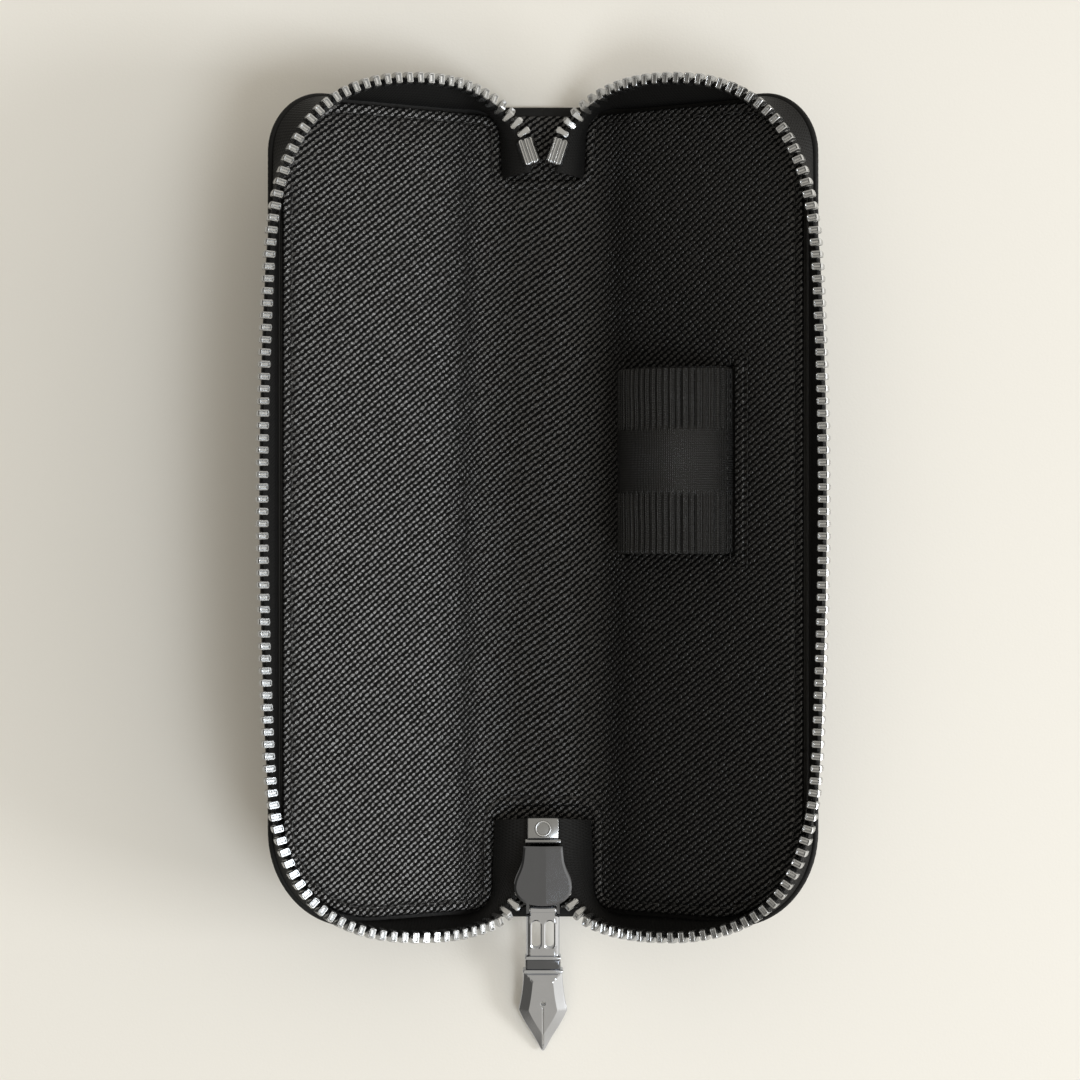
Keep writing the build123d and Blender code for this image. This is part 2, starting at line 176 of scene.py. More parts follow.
# ---- colours, linear ----
LEATHER_BLACK = (0.0135, 0.0132, 0.0135, 1)
# painted shade: the near black of the print's grooves; also the darker black in the edge paint's grain
GROOVE_SHADE_AND_DEEP_BLACK = (0.0022, 0.0022, 0.0022, 1)
EDGE_BLACK = (0.008, 0.008, 0.008, 1)
ELASTIC_BLACK = (0.007, 0.007, 0.0073, 1)
THREAD_DARK = (0.006, 0.006, 0.006, 1)
THREAD_BLACK = (0.012, 0.012, 0.012, 1)
BOARD_DARK = (0.02, 0.02, 0.02, 1)
BOARD_GREY = (0.05, 0.048, 0.045, 1)
SILVER = (0.56, 0.57, 0.58, 1)
PULLER_SILVER = (0.54, 0.56, 0.60, 1)
BOX_GREY = (0.34, 0.35, 0.36, 1)
STEEL = (0.5, 0.5, 0.5, 1)
# painted reflection: dark grey that stands in for the polished cap reflecting a dark room; also painted
# shade on the slider body under the cap
DARK_REFLECTION_AND_SHADE_GREY = (0.150, 0.157, 0.172, 1)
FLOOR_COLOUR = (0.79, 0.77, 0.725, 1)

# ---- floor, lights and camera ----
LIGHT_AIM = Vector((0, 0, 0.02))
FLOOR_REACH = 1500
FLOOR_DROP = 0.1                # keeps the floor clear of the cover's underside
CAMERA_PLACE = (-0.0006, -0.0057, 0.640)
CAMERA_LENS = 104.5


# ==== Node graphs ====
class Graph:
    """A material with one Principled shader, and short calls for the nodes in front of it."""

    def __init__(self, name, **shader):
        self.material = bpy.data.materials.new(name)
        self.material.use_nodes = True
        self.tree = self.material.node_tree
        self.shader = self.tree.nodes["Principled BSDF"]
        for socket, value in shader.items():
            self.shader.inputs[socket.replace("_", " ")].default_value = value

    def node(self, kind, inputs=(), **settings):
        made = self.tree.nodes.new(kind)
        for key, value in settings.items():
            setattr(made, key, value)
        for socket, value in dict(inputs).items():
            self.feed(made.inputs[socket], value)
        return made

    def feed(self, socket, value):
        if isinstance(value, bpy.types.NodeSocket):
            self.tree.links.new(value, socket)
        else:
            socket.default_value = value

    def math(self, operation, *values):
        return self.node("ShaderNodeMath", dict(enumerate(values)), operation=operation).outputs[0]

    def vector(self, operation, first, second=(0, 0, 0)):
        made = self.node("ShaderNodeVectorMath", {0: first, 1: second}, operation=operation)
        return made.outputs["Value" if operation == "DOT_PRODUCT" else "Vector"]

    def place(self):
        """Position on the flat cut of a sheet, in millimetres."""
        return self.node("ShaderNodeAttribute", attribute_name="flat").outputs["Vector"]

    def body_place(self):
        """Position on the object in millimetres."""
        position = self.node("ShaderNodeTexCoord").outputs["Object"]
        return self.vector("MULTIPLY", position, (1 / MM, 1 / MM, 1 / MM))

    def noise(self, place, scale, detail=2.0, rough=0.5):
        settings = {"Vector": place, "Scale": scale, "Detail": detail, "Roughness": rough}
        return self.node("ShaderNodeTexNoise", settings).outputs["Fac"]

    def wandering(self, place, scale, reach):
        """The place, moved a little to and fro by noise."""
        noise = self.node("ShaderNodeTexNoise", {"Vector": place, "Scale": scale}).outputs["Color"]
        off = self.vector("SUBTRACT", noise, (0.5, 0.5, 0.5))
        return self.vector("ADD", place, self.vector("MULTIPLY", off, (reach, reach, reach)))

    def wave(self, place, angle, pitch):
        """Even waves from 0 to 1 whose crests run at an angle to the x axis."""
        turn = math.radians(angle)
        step = math.tau / pitch
        across = (-math.sin(turn) * step, math.cos(turn) * step, 0)
        swing = self.math("COSINE", self.vector("DOT_PRODUCT", place, across))
        return self.math("MULTIPLY_ADD", swing, 0.5, 0.5)

    def blend(self, share, first, second):
        made = self.node("ShaderNodeMix", data_type="RGBA")
        self.feed(made.inputs["Factor"], share)
        self.feed(made.inputs["A"], first)
        self.feed(made.inputs["B"], second)
        return made.outputs["Result"]

    def span(self, value, low, high, to_low=0.0, to_high=1.0, curve="LINEAR"):
        """The value, carried from one range to another and held at its ends."""
        ranges = {"Value": value, "From Min": low, "From Max": high, "To Min": to_low, "To Max": to_high}
        return self.node("ShaderNodeMapRange", ranges, interpolation_type=curve).outputs[0]

    def colour(self, value):
        self.feed(self.shader.inputs["Base Color"], value)

    def rough(self, value):
        self.feed(self.shader.inputs["Roughness"], value)

    def relief(self, height, depth_mm):
        bump = self.node("ShaderNodeBump", {"Height": height, "Distance": depth_mm * MM, "Strength": 1.0})
        self.feed(self.shader.inputs["Normal"], bump.outputs[0])
        return bump.outputs[0]

    def glaze(self, share, relief):
        """A clear finish over part of the surface, following its relief."""
        self.feed(self.shader.inputs["Coat Weight"], share)
        self.feed(self.shader.inputs["Coat Normal"], relief)


def leather(name):
    """Black leather with a crosshatch print: rows of small raised bars, a little uneven.

    The grooves are dull, and painted near black as painted shade. Only the bars carry the clear finish,
    so they alone catch the light.
    """
    graph = Graph(name, Specular_IOR_Level=0.08, Coat_Roughness=0.26, Coat_IOR=1.65)
    flat = graph.place()
    place = graph.wandering(flat, 0.9, 0.55)
    rows = graph.math("POWER", graph.wave(place, *PRINT_ROWS), 0.75)
    cuts = graph.span(graph.wave(place, *PRINT_CUTS), 0, 1, 0.46, 1.0)
    bars = graph.math("MULTIPLY", rows, cuts)
    grain = graph.noise(flat, 1.9, 3.0, 0.6)
    patch = graph.noise(flat, 0.16, 3.0)
    flat_topped = graph.span(bars, 0.16, 0.58, curve="SMOOTHSTEP")
    height = graph.math("ADD", flat_topped, graph.math("MULTIPLY", grain, 0.85))
    height = graph.math("MULTIPLY", height, graph.span(patch, 0.3, 0.7, 0.85, 1.1))
    # painted shade: the grooves between the bars are painted near black, where shade would fall in the
    # print
    graph.colour(graph.blend(flat_topped, GROOVE_SHADE_AND_DEEP_BLACK, LEATHER_BLACK))
    worn = graph.math("ADD", patch, graph.math("MULTIPLY", grain, 0.4))
    uneven = graph.span(worn, 0.45, 0.95, -0.05, 0.07)
    graph.rough(graph.math("ADD", graph.span(bars, 0.20, 0.52, 0.85, 0.27), uneven))
    relief = graph.relief(height, 0.20)
    graph.glaze(graph.math("MULTIPLY", flat_topped, graph.span(patch, 0.3, 0.7, 0.85, 1.0)), relief)
    return graph.material


def woven(name, angles, pitch, depth, rough, colour, gloss):
    """Plain weave: threads at two angles on the flat cut, passing over and under each other."""
    graph = Graph(name, Specular_IOR_Level=gloss)
    flat = graph.place()
    warp, weft = [graph.wave(flat, *thread) for thread in zip(angles, pitch)]
    over = graph.math("MAXIMUM", graph.math("MULTIPLY", warp, 0.9), weft)
    fuzz = graph.noise(flat, 4.0, 4.0, 0.7)
    height = graph.math("ADD", over, graph.math("MULTIPLY", fuzz, 0.35))
    # painted shade: where the threads pass under, the weave is painted darker
    dark = tuple(c * 0.45 for c in colour[:3]) + (1,)
    graph.colour(graph.blend(graph.span(height, 0.4, 1.1), dark, colour))
    graph.rough(graph.span(fuzz, 0.3, 0.7, *rough))
    graph.relief(height, depth)
    return graph.material


def metal(name, colour, rough, scratch=0.0, stretch=BRUSHING):
    """Plated metal: faint brushing and small uneven patches in its polish."""
    graph = Graph(name, Metallic=1.0, Specular_IOR_Level=0.5)
    place = graph.body_place()
    brushing = graph.noise(graph.vector("MULTIPLY", place, stretch), 1.0, 3.0, 0.6)
    patch = graph.noise(place, 0.35, 2.0)
    mixed = graph.math("ADD", graph.math("MULTIPLY", brushing, 0.6), graph.math("MULTIPLY", patch, 0.4))
    dark = tuple(c * 0.86 for c in colour[:3]) + (1,)
    graph.colour(graph.blend(mixed, dark, colour))
    graph.rough(graph.span(mixed, 0.3, 0.7, *rough))
    if scratch:
        graph.relief(brushing, scratch)
    return graph.material


def grained(name, gloss, grain, colours, rough, depth, stretch=(1, 1, 1)):
    """Paint, board, foam or waxed thread: one grain in its colour, roughness and relief."""
    graph = Graph(name, Specular_IOR_Level=gloss)
    noise = graph.noise(graph.vector("MULTIPLY", graph.body_place(), stretch), *grain)
    graph.colour(graph.blend(noise, *colours))
    graph.rough(graph.span(noise, 0.3, 0.7, *rough))
    graph.relief(noise, depth)
    return graph.material


# ==== Geometry helpers ====
def ease(value, low, high):
    """0 below low, 1 above high, and an even curve between. Works on arrays."""
    t = np.clip((value - low) / (high - low), 0, 1)
    return t * t * (3 - 2 * t)


def wall(s, depth):
    """x and z at distance s round the right half's outer face, at a depth inside it."""
    turn = np.clip((s - FLAT) / FOLD_RADIUS, 0, TILT)
    along = np.maximum(s - PANEL_START, 0)
    radius = FOLD_RADIUS - depth
    x = np.minimum(s, FLAT) + radius * np.sin(turn) + along * math.cos(TILT)
    z = FOLD_RADIUS - radius * np.cos(turn) + along * math.sin(TILT)
    return x, z


def on_wall(points, depth, side):
    """3-D places of flat points (s, y) at a depth inside the outer face."""
    x, z = wall(points[:, 0], depth)
    return np.stack([x * side, points[:, 1], z], 1)


def arc(centre, radius, start, end, steps=10):
    """Points on an arc, angles in degrees."""
    angles = np.radians(np.linspace(start, end, steps + 1))
    return [(centre[0] + radius * math.cos(a), centre[1] + radius * math.sin(a)) for a in angles]


def spread(points, step, closed=True):
    """The same line with points at an even step."""
    points = np.array(points, float)
    if closed:
        points = np.vstack([points, points[:1]])
    gaps = np.linalg.norm(np.diff(points, axis=0), axis=1)
    run = np.concatenate([[0], np.cumsum(gaps)])
    count = max(3, int(round(run[-1] / step)))
    places = np.linspace(0, run[-1], count + 1)
    if closed:
        places = places[:-1]
    return np.stack([np.interp(places, run, points[:, i]) for i in range(points.shape[1])], 1)


def edge_distance(points, loops):
    """Distance of flat points to the nearest edge of the loops. The spine's middle is no edge."""
    best = np.full(len(points), 1e9)
    for loop in loops:
        for a, b in zip(loop, np.roll(loop, -1, 0)):
            if abs(a[0]) < 1e-6 and abs(b[0]) < 1e-6:
                continue
            run = b - a
            share = np.clip((points - a) @ run / max(run @ run, 1e-12), 0, 1)
            gap = np.linalg.norm(points - a - share[:, None] * run, axis=1)
            best = np.minimum(best, gap)
    return best


def inside(points, loops):
    """Whether flat points lie inside the loops, holes left out."""
    crossed = np.zeros(len(points), bool)
    for loop in loops:
        for a, b in zip(loop, np.roll(loop, -1, 0)):
            if a[1] == b[1]:
                continue
            spans = (a[1] > points[:, 1]) != (b[1] > points[:, 1])
            at = a[0] + (points[:, 1] - a[1]) * (b[0] - a[0]) / (b[1] - a[1])
            crossed ^= spans & (points[:, 0] < at)
    return crossed


def cut(loops, cell, edge_cell, rings, lines=()):
    """Triangles that fill an outline and leave out its holes, with rings of points along the edges.

    lines are kept as edges of triangles too, such as a ridge.

    Returns the flat points, the triangles and each point's distance to the nearest edge.
    """
    edges = [spread(np.array(loop, float), edge_cell) for loop in loops]
    points, constraints = [], []
    for edge in edges:
        first = len(points)
        points += list(edge)
        constraints += [(first + i, first + (i + 1) % len(edge)) for i in range(len(edge))]
    for line in lines:
        laid = spread(line, edge_cell, closed=False)
        constraints += [(len(points) + i, len(points) + i + 1) for i in range(len(laid) - 1)]
        points += list(laid)
    for edge in edges:
        ahead = np.roll(edge, -1, 0) - np.roll(edge, 1, 0)
        normal = np.stack([-ahead[:, 1], ahead[:, 0]], 1) / np.linalg.norm(ahead, axis=1)[:, None]
        for ring in rings:
            for sign in (1, -1):
                moved = edge + normal * ring * sign
                moved = moved[inside(moved, edges)]
                points += list(moved[edge_distance(moved, edges) > 0.93 * ring])
    low, high = edges[0].min(0), edges[0].max(0)
    xs = np.arange(low[0] + cell / 2, high[0], cell)
    ys = np.arange(low[1] + cell / 2, high[1], cell * 0.866)
    grid = np.array([(x + (row % 2) * cell / 2, y) for row, y in enumerate(ys) for x in xs])
    grid = grid[inside(grid, edges)]
    points += list(grid[edge_distance(grid, edges) > rings[-1] + cell * 0.5])
    made = geometry.delaunay_2d_cdt([Vector(p) for p in points], constraints, [], 0, 1e-5)
    flat = np.array([tuple(v) for v in made[0]])
    triangles = np.array(made[2])
    triangles = triangles[inside(flat[triangles].mean(1), edges)]
    gap = edge_distance(flat, edges)
    gap[gap < 1e-3] = 0
    return flat, triangles, gap


def new_object(name, vertices, faces, *materials, flat=None, sharp=None):
    """A mesh object from places in millimetres; flat has each place on a sheet's flat cut."""
    mesh = bpy.data.meshes.new(name)
    mesh.from_pydata((np.array(vertices) * MM).tolist(), [], [list(map(int, f)) for f in faces])
    mesh.validate()
    if flat is not None:
        layer = mesh.attributes.new("flat", "FLOAT_VECTOR", "POINT")
        full = np.zeros((len(mesh.vertices), 3), np.float32)
        full[:, : np.array(flat).shape[1]] = flat
        layer.data.foreach_set("vector", full.ravel())
    for material in materials:
        mesh.materials.append(material)
    mesh.shade_smooth()
    if sharp is not None:
        mesh.set_sharp_from_angle(angle=math.radians(sharp))
    made = bpy.data.objects.new(name, mesh)
    bpy.context.scene.collection.objects.link(made)
    return made


def outward(obj):
    """Turns every face of a closed mesh outward."""
    shape = bmesh.new()
    shape.from_mesh(obj.data)
    bmesh.ops.recalc_face_normals(shape, faces=shape.faces)
    shape.to_mesh(obj.data)
    shape.free()
    return obj


def open_edges(triangles):
    """Edges that only one triangle has."""
    edges = {edge: None for a, b, c in triangles.tolist() for edge in ((a, b), (b, c), (c, a))}
    return [(a, b) for a, b in edges if (b, a) not in edges]


def closed_sheet(name, shape, inner, outer, materials, side):
    """A sheet on the wall, with an inner and an outer face that meet at its edges.

    inner and outer are depths from the wall's outside; materials are those of the two faces.
    """
    flat, triangles, gap = shape
    count = len(flat)
    merged = gap == 0
    over = np.arange(count)
    under = np.where(merged, over, over + count)
    upper = on_wall(flat, np.where(merged, (inner + outer) / 2, inner), side)
    lower = on_wall(flat, outer, side)
    used = np.concatenate([np.ones(count, bool), ~merged])
    index = np.cumsum(used) - 1
    walls = []
    for a, b in open_edges(triangles):
        if not (merged[a] and merged[b]):
            ring = [over[b], over[a], under[a], under[b]]
            walls.append([int(index[i]) for n, i in enumerate(ring) if i not in ring[:n]])
    faces = index[triangles].tolist() + index[under[triangles]][:, ::-1].tolist() + walls
    if side < 0:
        faces = [face[::-1] for face in faces]
    vertices = np.concatenate([upper, lower])[used]
    marks = np.concatenate([flat, flat])[used] * (side, 1)
    made = new_object(name, vertices, faces, *materials, flat=marks)
    outside = 0 if len(materials) == 1 else 1
    shares = [0] * len(triangles) + [outside] * (len(triangles) + len(walls))
    made.data.polygons.foreach_set("material_index", np.array(shares, np.int32))
    return outward(made)


def rolled(gap, radius):
    """Share of a sheet's full thickness near its rounded edge."""
    short = 1 - np.clip(gap / radius, 0, 1)
    return np.sqrt(np.clip(1 - short * short, 0, 1))


def link_rings(rings, count, ends=True):
    """Quads between rings of `count` points each, and a face over each end."""
    faces = []
    for i in range(rings - 1):
        for k in range(count):
            a, b = i * count + k, i * count + (k + 1) % count
            faces.append((a, b, b + count, a + count))
    if ends:
        faces.append(tuple(range(count))[::-1])
        faces.append(tuple(range((rings - 1) * count, rings * count)))
    return faces


def tube(path, radius, sides=10, close_ends=True):
    """Vertices and faces of a tube along a path of 3-D points; radius may be one per point."""
    path = np.array(path, float)
    radius = np.broadcast_to(radius, len(path))
    ahead = np.gradient(path, axis=0)
    ahead /= np.linalg.norm(ahead, axis=1)[:, None]
    normal = np.cross(ahead[0], (0.31, 0.27, 0.91))
    vertices = []
    for point, run, size in zip(path, ahead, radius):
        normal = normal - run * (normal @ run)
        normal /= np.linalg.norm(normal)
        other = np.cross(run, normal)
        for k in range(sides):
            angle = math.tau * k / sides
            vertices.append(point + size * (math.cos(angle) * normal + math.sin(angle) * other))
    return vertices, link_rings(len(path), sides, close_ends)


class Pile:
    """Collects many small shapes into one mesh."""

    def __init__(self):
        self.vertices, self.faces = [], []

    def add(self, vertices, faces):
        base = len(self.vertices)
        self.vertices += [tuple(v) for v in vertices]
        self.faces += [tuple(i + base for i in f) for f in faces]

    def make(self, name, material, **options):
        return new_object(name, self.vertices, self.faces, material, **options)


def stitch_row(pile, places, normals, length, gap, radius):
    """Lays short bent threads along a line of places, sunk in at both ends."""
    run = np.concatenate([[0], np.cumsum(np.linalg.norm(np.diff(places, axis=0), axis=1))])
    count = int(run[-1] / (length + gap))
    step = run[-1] / max(count, 1)
    for i in range(count):
        at = np.linspace(i * step, i * step + length, 5)
        line = np.stack([np.interp(at, run, places[:, k]) for k in range(3)], 1)
        lift = np.stack([np.interp(at, run, normals[:, k]) for k in range(3)], 1)
        arch = np.array([-0.9, 0.35, 0.6, 0.35, -0.9])[:, None] * radius
        pile.add(*tube(line + lift * arch, radius, sides=6))


def seam(name, line, depth, out, stitch, side, look):
    """Stitches along a flat line at a depth in the wall; out is 1 if they stand up inwards."""
    places = on_wall(line, depth, side)
    row = Pile()
    stitch_row(row, places, (on_wall(line, depth + 1, side) - places) * out, *stitch)
    return row.make(name, look)


# ==== Cover, lining, padding ====
def notch_side(half, reach, edge):
    """One side of a notch, from its floor at the middle of the spine to the sheet's end."""
    floor = [(0, reach)]
    inner = arc((half - NOTCH_INNER, reach + NOTCH_INNER), NOTCH_INNER, -90, 0)
    mouth = arc((half + NOTCH_MOUTH, edge - NOTCH_MOUTH), NOTCH_MOUTH, 180, 90)
    return floor + inner + mouth


def half_outline(inset, corners, notches=False):
    """Flat outline of half a sheet, at an inset from the cover's edge.

    corners has the radius at each end, 1 for the top and -1 for the slider's end.
    """
    outer = PANEL_START + PANEL_WIDTH - inset
    edge = HALF_LENGTH - inset
    ends = {}
    for end, corner in corners.items():
        turn = arc((outer - corner, edge - corner), corner, 90, 0, 24)
        start = notch_side(*NOTCHES[end], edge) if notches else [(0, edge)]
        ends[end] = [(s, y * end) for s, y in start + turn]
    return ends[1] + ends[-1][::-1]


def loop_slits():
    """Slits in the right lining that the pen loop goes down through."""
    slits = []
    for place in (LOOP_START, LOOP_END - 1.1):
        low, high = PANEL_START + place - 0.1, PANEL_START + place + 1.2
        half = LOOP_LENGTH / 2 + 0.2
        corners = [(low, -half), (high, -half), (high, half), (low, half)]
        slits.append([(s, y + LOOP_MIDDLE) for s, y in corners])
    return slits


def inset_line(outline, inset, step=0.5):
    """The line at an even distance inside an outline, from one end of the spine to the other."""
    edge = spread(outline, step)
    ahead = np.roll(edge, -1, 0) - np.roll(edge, 1, 0)
    normal = np.stack([ahead[:, 1], -ahead[:, 0]], 1) / np.linalg.norm(ahead, axis=1)[:, None]
    moved = edge + normal * inset
    keep = (edge_distance(moved, [edge]) > 0.97 * inset) & (moved[:, 0] > 0)
    return moved[keep]


def half_name(side):
    return NAMES[side] + "_half"


def bend_with_half(obj, side, start=5.0, end=18.0):
    """Bakes the piece's placement into its mesh."""
    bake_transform(obj)
    return obj


def make_cover(side, looks):
    """Printed outside, plain inside, a rounded edge and a seam sunk all round."""
    outline = half_outline(0, CORNERS)
    rings = (0.12, 0.3, 0.6, 1.1, 1.8, 2.5, 3.1, 3.45, COVER_SEAM, 4.05, 4.4, 5.2)
    shape = cut([outline], 1.6, 0.7, rings)
    gap = shape[2]
    middle = COVER / 2
    half = middle * rolled(gap, 0.6)
    crease = 0.28 * np.exp(-(((gap - COVER_SEAM) / 0.28) ** 2))
    ends = NAMES[side]
    faces = (looks["edge"], looks["cover"])
    made = closed_sheet(f"cover_skin_{ends}", shape, middle + half, middle - half + crease, faces, side)
    line = inset_line(outline, COVER_SEAM)
    stitches = seam(f"cover_stitches_{ends}", line, 0.22, -1, COVER_STITCH, side, looks["thread"])
    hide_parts(f"cover_{ends}", "cover_spine")
    for piece in (made, stitches):
        bend_with_half(piece, side)


def lining_depth(s):
    """Depth of the lining's inner face: it steps up a little onto the padded panel."""
    return SPINE_DEPTH + (PANEL_DEPTH - SPINE_DEPTH) * ease(s, 12, 21)


def make_lining(side, looks):
    """Printed lining with its notches, slits for the pen loop, a rounded edge and a sunk seam."""
    outline = half_outline(LINING_INSET, INNER_CORNERS, notches=True)
    slits = loop_slits() if side > 0 else []
    rings = (0.1, 0.25, 0.5, 0.9, 1.35, 1.6, 1.85, 2.1, 2.35, 2.7, 3.3)
    shape = cut([outline] + slits, 1.3, 0.55, rings)
    flat, _, gap = shape
    from_edge = edge_distance(flat, [spread(outline, 0.55)])
    crease = 0.22 * np.exp(-(((from_edge - LINING_SEAM) / 0.24) ** 2))
    puff = 0.45 * (1 - np.exp(-np.maximum(from_edge - 2.2, 0) / 3.0)) * ease(flat[:, 0], 14, 26)
    middle = lining_depth(flat[:, 0]) - LINING / 2
    share = rolled(gap, 0.5)
    half = LINING / 2 * share
    ends = NAMES[side]
    made = closed_sheet(
        f"lining_skin_{ends}", shape, middle + half - crease + puff * (share > 0.9), middle - half,
        (looks["lining"], looks["edge"]), side)
    line = inset_line(outline, LINING_SEAM)
    depth = lining_depth(line[:, 0]) - 0.26
    stitches = seam(f"lining_stitches_{ends}", line, depth, 1, LINING_STITCH, side, looks["thread"])
    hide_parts(f"lining_{ends}", "lining_spine")
    for piece in (made, stitches):
        bend_with_half(piece, side)


def flat_layer(name, outline, cells, rings, edge, middle, half, look, side):
    """A plain layer between the others, with a rounded edge."""
    shape = cut([outline], *cells, rings)
    share = half * rolled(shape[2], edge)
    return closed_sheet(name, shape, middle + share, middle - share, (look,), side)


def make_underlay(side, looks):
    """Leather under the spine, seen in the notches."""
    edge = HALF_LENGTH - LINING_INSET
    outline = [(0, edge), (UNDERLAY_REACH, edge), (UNDERLAY_REACH, -edge), (0, -edge)]
    made = flat_layer(f"spine_underlay_{NAMES[side]}", outline, (1.6, 1.0), (0.15, 0.4), 0.25,
                      1.52, 0.24, looks["lining"], side)
    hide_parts("spine_stiffener")
    bend_with_half(made, side)


def make_pad(side, looks):
    """Thin foam on the panel's board."""
    outer = PANEL_START + PANEL_WIDTH - LINING_INSET
    edge = HALF_LENGTH - LINING_INSET
    turn = arc((outer - PAD_CORNER, edge - PAD_CORNER), PAD_CORNER, 90, 0, 24)
    top = [(PANEL_START + 0.3, edge)] + turn
    outline = top + [(s, -y) for s, y in top[::-1]]
    made = flat_layer(f"pad_{NAMES[side]}", outline, (2.0, 1.0), (0.2, 0.6), 0.5,
                      2.2, 0.38, looks["foam"], side)
    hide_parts(f"padding_{NAMES[side]}")
    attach(made, half_name(side))


# ==== Zip: rim line, tape, teeth, stops ====
def curve(points, count):
    """Smooth line through points, a natural cubic spline, as `count` points at an even step."""
    points = np.array(points, float)
    knots = np.concatenate([[0], np.cumsum(np.linalg.norm(np.diff(points, axis=0), axis=1))])
    step = np.diff(knots)
    slope = np.diff(points, axis=0) / step[:, None]
    size = len(points)
    system, target = np.eye(size), np.zeros_like(points)
    for i in range(1, size - 1):
        system[i, i - 1: i + 2] = step[i - 1], 2 * (step[i - 1] + step[i]), step[i]
        target[i] = 6 * (slope[i] - slope[i - 1])
    bend = np.linalg.solve(system, target)      # second derivative at each point
    fine = np.linspace(0, knots[-1], 40 * size)
    k = np.clip(np.searchsorted(knots, fine, side="right") - 1, 0, size - 2)
    a, b, h = knots[k + 1] - fine, fine - knots[k], step[k]
    a, b, h = a[:, None], b[:, None], h[:, None]
    line = (bend[k] * a**3 + bend[k + 1] * b**3) / (6 * h)
    line += (points[k] / h - bend[k] * h / 6) * a + (points[k + 1] / h - bend[k + 1] * h / 6) * b
    return spread(line, np.linalg.norm(np.diff(line, axis=0), axis=1).sum() / (count - 1), closed=False)


def rim_height(x):
    """Height of the rim line: RIM_DROP under the plane that turns onto the middle when closed."""
    meeting = PIVOT_Z + (PIVOT_X + (x - PIVOT_X) * math.cos(CLOSED_TURN)) / math.sin(CLOSED_TURN)
    return CHAIN_Z + (meeting - RIM_DROP - CHAIN_Z) * ease(x, *RIM_EASE)


RIM = curve([(x, y, float(rim_height(x))) for x, y in RIM_PLAN], 1600)
RIM_RUN = np.concatenate([[0], np.cumsum(np.linalg.norm(np.diff(RIM, axis=0), axis=1))])
RIM_LENGTH = RIM_RUN[-1]


def unit(rows):
    """Vectors of length 1 in the same directions."""
    return rows / np.linalg.norm(rows, axis=-1)[..., None]


def places_on(distances, run, line):
    """Places at distances along a line, which goes straight on past its ends."""
    found = np.stack([np.interp(distances, run, line[:, k]) for k in range(3)], 1)
    start, end = unit(line[1] - line[0]), unit(line[-1] - line[-2])
    found += np.minimum(distances - run[0], 0)[:, None] * start
    return found + np.maximum(distances - run[-1], 0)[:, None] * end


def rim_frames(distances):
    """Points on the right rim, with the directions along it, up a tooth and across a tooth."""
    distances = np.atleast_1d(distances)
    at = places_on(distances, RIM_RUN, RIM)
    along = unit(places_on(distances + 0.3, RIM_RUN, RIM) - places_on(distances - 0.3, RIM_RUN, RIM))
    lean = np.radians(90 + (RIM_LEAN - 90) * ease(at[:, 0], *RIM_EASE))
    up = np.stack([-np.sin(lean), np.zeros(len(lean)), np.cos(lean)], 1)
    up = unit(up - along * (up * along).sum(1)[:, None])
    return at, along, up, np.cross(along, up)


def foot_places(distances):
    """Foot of the tape under each place on the rim, on the cover's inside."""
    inset = HALF_LENGTH - FOOT_INSET
    outer = PANEL_START + PANEL_WIDTH - FOOT_INSET
    edge = []
    for end, corner in CORNERS.items():
        bend = corner - FOOT_INSET
        turn = arc((outer - bend, inset - bend), bend, 90, 0, 16)
        edge.append([(s, y * end) for s, y in [(PANEL_START + 1.0, inset)] + turn])
    edge = np.array(edge[0] + edge[1][::-1])
    edge = on_wall(edge, np.full(len(edge), COVER + 0.3), 1)
    parts = [(TOP_FOOT, 0, TOP_RUN), (edge, TOP_RUN + 0.3, RIM_LENGTH - BOTTOM_RUN - 0.3),
             (BOTTOM_FOOT, RIM_LENGTH - BOTTOM_RUN, RIM_LENGTH)]
    places, at = [], []
    for line, start, end in parts:
        if len(line[0]) == 2:
            line = curve([(x, y, foot_height(x, y)) for x, y in line], 60)
        else:
            line = spread(line, 1.0, closed=False)
        places.append(line)
        at.append(np.linspace(start, end, len(line)))
    places, at = np.vstack(places), np.concatenate(at)
    found = places_on(distances, at, places)
    kernel = np.ones(7) / 7
    padded = np.pad(found, ((3, 3), (0, 0)), mode="edge")
    return np.stack([np.convolve(padded[:, k], kernel, "valid") for k in range(3)], 1)


def wall_height(x):
    """Height of the cover's inner face above the table."""
    return float(np.interp(x, *wall(np.linspace(0, PANEL_START + PANEL_WIDTH, 4000), COVER)))


def foot_height(x, y):
    return wall_height(x) + FOOT_LIFT - FOOT_SINK * float(ease(abs(y), *FOOT_SINKS))


